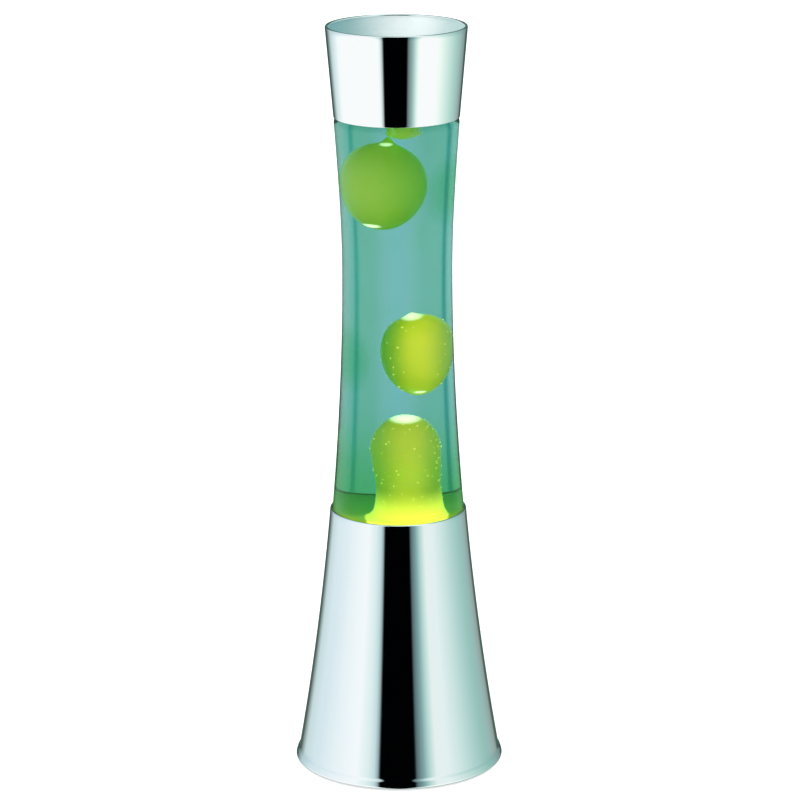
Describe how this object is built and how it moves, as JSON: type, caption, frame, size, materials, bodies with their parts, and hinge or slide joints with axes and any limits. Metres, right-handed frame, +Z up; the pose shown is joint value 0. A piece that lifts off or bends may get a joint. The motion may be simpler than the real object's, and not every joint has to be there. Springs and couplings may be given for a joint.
{
  "type": "lava lamp",
  "caption": "Tall lava lamp: flared chrome base with a reflector bulb, waisted glass bottle of liquid and drifting wax, and an open-topped flared chrome cap.",
  "frame": {"origin": "on the table, where the lamp's vertical axis meets the plane that the rubber feet stand on", "axes": "+Z up along the lamp's axis, +Y towards the back, where the cord hole is, +X to the right seen from the front"},
  "size_m": [0.1102, 0.1102, 0.395],
  "materials": {
    "chrome": "polished mirror",
    "zinc_steel": "satin zinc plate",
    "satin_aluminium": "satin",
    "brass": "satin",
    "black_paint": "satin",
    "black_rubber": "matte",
    "white_silicone": "matte",
    "white_plastic": "satin",
    "dark_plastic": "satin",
    "brown_pvc": "satin",
    "blue_pvc": "satin",
    "green_yellow_pvc": "satin",
    "clear_glass": "polished",
    "bulb_glass": "frosted face",
    "black_glass": "gloss",
    "tungsten": "glowing",
    "teal_liquid": "clear coloured liquid",
    "green_wax": "glowing satin",
    "crown_tinplate": "satin tinplate"
  },
  "bodies": {
    "base": {"base_shell": "chrome", "cover_lugs": "zinc_steel", "seat_ring": "zinc_steel", "seat_gasket": "white_silicone", "support_pillars": "zinc_steel", "pillar_screws": "zinc_steel", "bottom_cover": "black_paint", "cover_screws": "zinc_steel", "rubber_feet": "black_rubber", "cord_bushing": "black_rubber", "lamp_bracket": "zinc_steel", "bracket_screws": "zinc_steel", "threaded_nipple": "zinc_steel", "lock_nut": "zinc_steel", "holder_body": "white_plastic", "holder_thread_shell": "brass", "holder_centre_contact": "brass", "holder_side_contact": "brass", "terminal_block": "white_plastic", "terminal_screws": "brass", "live_lead": "brown_pvc", "neutral_lead": "blue_pvc", "earth_lead": "green_yellow_pvc", "earth_tag": "brass", "earth_screw": "zinc_steel"},
    "bulb_tip": {"bulb_tip_contact": "zinc_steel"},
    "bulb": {"bulb_insulator": "black_glass", "bulb_screw_shell": "zinc_steel", "bulb_envelope": "bulb_glass", "bulb_stem": "bulb_glass", "bulb_support_wires": "zinc_steel", "bulb_filament": "tungsten"},
    "bottle": {"glass_bottle": "clear_glass", "liquid": "teal_liquid", "wax_pool": "green_wax", "wax_top_blob": "green_wax", "heat_coil": "zinc_steel", "crown_liner": "white_silicone", "crown_cap": "crown_tinplate"},
    "lower_wax": {"wax_lower_blob": "green_wax"},
    "upper_wax": {"wax_upper_blob": "green_wax"},
    "cap": {"cap_shell": "chrome", "cap_dish": "satin_aluminium", "neck_grip": "dark_plastic"}
  },
  "joints": [
    {"name": "bottle_lift", "type": "slide", "parent": "base", "child": "bottle", "axis": [0, 0, 1], "range_m": [0, 0.06]},
    {"name": "cap_lift", "type": "slide", "parent": "bottle", "child": "cap", "axis": [0, 0, 1], "range_m": [0, 0.045]},
    {"name": "bulb_advance", "type": "slide", "parent": "base", "child": "bulb_tip", "axis": [0, 0, 1], "range_m": [0, 0.0085]},
    {"name": "bulb_turn", "type": "hinge", "parent": "bulb_tip", "child": "bulb", "pos_m": [0, 0, 0.05], "axis": [0, 0, 1], "range_deg": [0, 1080]},
    {"name": "lower_wax_drift", "type": "slide", "parent": "bottle", "child": "lower_wax", "axis": [0, 0, 1], "range_m": [-0.01, 0.018], "deforming": ["liquid"]},
    {"name": "upper_wax_drift", "type": "slide", "parent": "bottle", "child": "upper_wax", "axis": [0, 0, 1], "range_m": [-0.018, 0], "deforming": ["liquid"]}
  ],
  "couplings": [
    {"joint": "bulb_advance", "follows": "bulb_turn", "m_per_rad": 0.00044882}
  ]
}
